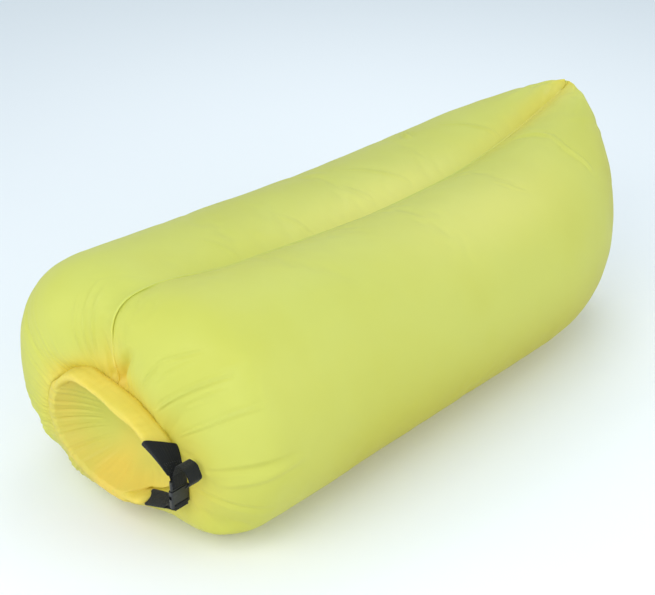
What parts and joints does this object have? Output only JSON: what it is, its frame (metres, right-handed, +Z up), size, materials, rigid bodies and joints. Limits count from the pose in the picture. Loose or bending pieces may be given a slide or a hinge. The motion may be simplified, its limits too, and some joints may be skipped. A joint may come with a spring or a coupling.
{
  "type": "inflatable air lounger",
  "caption": "Two long air chambers side by side with a raised pointed head end, closed by a rolled mouth clipped into a loop.",
  "frame": {"origin": "on the ground, under the middle of the lounger's box", "axes": "+X across the lounger, +Y along it from the rolled mouth to the head end, +Z up"},
  "size_m": [0.876, 1.9, 0.6848],
  "materials": {
    "ripstop_nylon": "satin",
    "liner_film": "gloss",
    "seam_binding": "satin",
    "strip_plastic": "matte",
    "black_webbing": "matte",
    "buckle_plastic": "satin",
    "sewing_thread": "satin"
  },
  "bodies": {
    "lounger": {"shell_right": "ripstop_nylon", "shell_left": "ripstop_nylon", "liner_right": "liner_film", "liner_left": "liner_film", "centre_web": "ripstop_nylon", "valley_seam": "seam_binding", "base_seam": "seam_binding", "head_seam": "seam_binding", "roll_skin": "ripstop_nylon", "roll_liner": "liner_film", "mouth_strip_outer": "strip_plastic", "mouth_strip_inner": "strip_plastic", "mouth_panel": "ripstop_nylon", "plug_tab": "black_webbing", "socket_tab": "black_webbing", "adjuster_webbing": "black_webbing", "anchor_webbing": "black_webbing", "anchor_stitching": "sewing_thread", "plug_tab_stitching": "sewing_thread", "buckle_plug": "buckle_plastic", "socket_tab_stitching": "sewing_thread", "tail_stitching": "sewing_thread"},
    "socket": {"buckle_socket": "buckle_plastic"},
    "front_arm": {"arm_front": "buckle_plastic"},
    "rear_arm": {"arm_rear": "buckle_plastic"}
  },
  "joints": [
    {"name": "socket_release", "type": "slide", "parent": "lounger", "child": "socket", "axis": [0, 0, -1], "range_m": [0, 0.03], "deforming": ["anchor_webbing", "arm_front", "arm_rear"]},
    {"name": "front_arm_squeeze", "type": "hinge", "parent": "lounger", "child": "front_arm", "pos_m": [0.247, -0.9375, 0.224], "axis": [1, 0, 0], "range_deg": [0, 9], "stiffness_Nm_per_rad": 1.5},
    {"name": "rear_arm_squeeze", "type": "hinge", "parent": "lounger", "child": "rear_arm", "pos_m": [0.247, -0.9025, 0.224], "axis": [-1, 0, 0], "range_deg": [0, 9], "stiffness_Nm_per_rad": 1.5}
  ]
}
